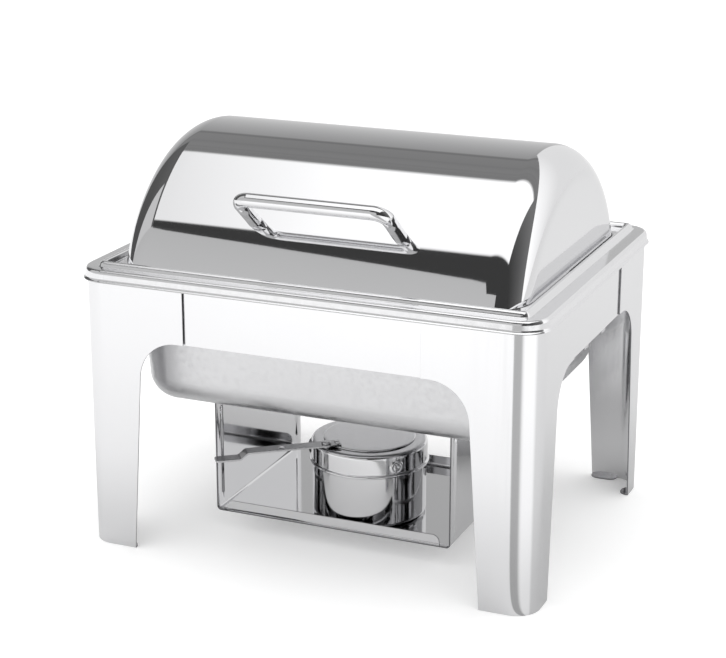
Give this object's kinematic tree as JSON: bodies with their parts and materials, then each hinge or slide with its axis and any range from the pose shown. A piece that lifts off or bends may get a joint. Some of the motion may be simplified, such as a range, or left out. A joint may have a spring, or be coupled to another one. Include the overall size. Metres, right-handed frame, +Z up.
{
  "type": "roll top chafer",
  "caption": "Free-standing food warmer on a folded sheet stand, with a rim, water pan, food pan, a lid that rolls back into the rim and a burner on a hanging shelf.",
  "frame": {"origin": "on the surface that it stands on, under the middle of the rim", "axes": "+X to the right along the lid's roll axis, +Y to the rear, +Z up"},
  "size_m": [0.4076, 0.3236, 0.3435],
  "materials": {
    "leg_steel": "mirror polished stainless steel sheet",
    "apron_steel": "mirror polished stainless steel sheet",
    "rim_steel": "mirror polished stainless steel pressing",
    "tub_steel": "satin drawn stainless steel",
    "pan_steel": "satin drawn stainless steel",
    "shelf_steel": "polished stainless steel sheet",
    "lid_steel": "mirror polished stainless steel",
    "handle_steel": "polished stainless steel rod",
    "fastener_steel": "bright stainless steel",
    "bracket_steel": "plain stainless steel sheet",
    "pot_steel": "polished stainless steel",
    "cap_steel": "polished stainless steel",
    "disc_steel": "polished stainless steel",
    "arm_steel": "polished stainless steel strip"
  },
  "bodies": {
    "frame": {"leg_front_left": "leg_steel", "leg_front_right": "leg_steel", "leg_rear_left": "leg_steel", "leg_rear_right": "leg_steel", "apron_front": "apron_steel", "apron_rear": "apron_steel", "apron_left": "apron_steel", "apron_right": "apron_steel", "rim_frame": "rim_steel", "water_pan": "tub_steel", "food_pan": "pan_steel", "burner_shelf": "shelf_steel", "pivot_bracket_left": "bracket_steel", "pivot_pin_left": "fastener_steel", "pivot_washer_left": "fastener_steel", "pivot_bracket_right": "bracket_steel", "pivot_pin_right": "fastener_steel", "pivot_washer_right": "fastener_steel"},
    "lid": {"lid_shell": "lid_steel", "lid_handle": "handle_steel", "handle_screws": "fastener_steel", "lid_arm_left": "bracket_steel", "lid_arm_right": "bracket_steel"},
    "burner_pot": {"pot_body": "pot_steel", "pot_cap": "cap_steel", "swing_rivet": "fastener_steel"},
    "regulator": {"regulator_disc": "disc_steel", "regulator_arm": "arm_steel", "disc_rivets": "fastener_steel"}
  },
  "joints": [
    {"name": "lid_roll", "type": "hinge", "parent": "frame", "child": "lid", "pos_m": [0, 0, 0.196], "axis": [-1, 0, 0], "range_deg": [0, 75]},
    {"name": "pot_lift", "type": "slide", "parent": "frame", "child": "burner_pot", "axis": [0, 0, 1], "range_m": [0, 0.024]},
    {"name": "regulator_swing", "type": "hinge", "parent": "burner_pot", "child": "regulator", "pos_m": [-0.01073, -0.08089, 0.0883], "axis": [0, 0, 1], "range_deg": [0, 90]}
  ]
}
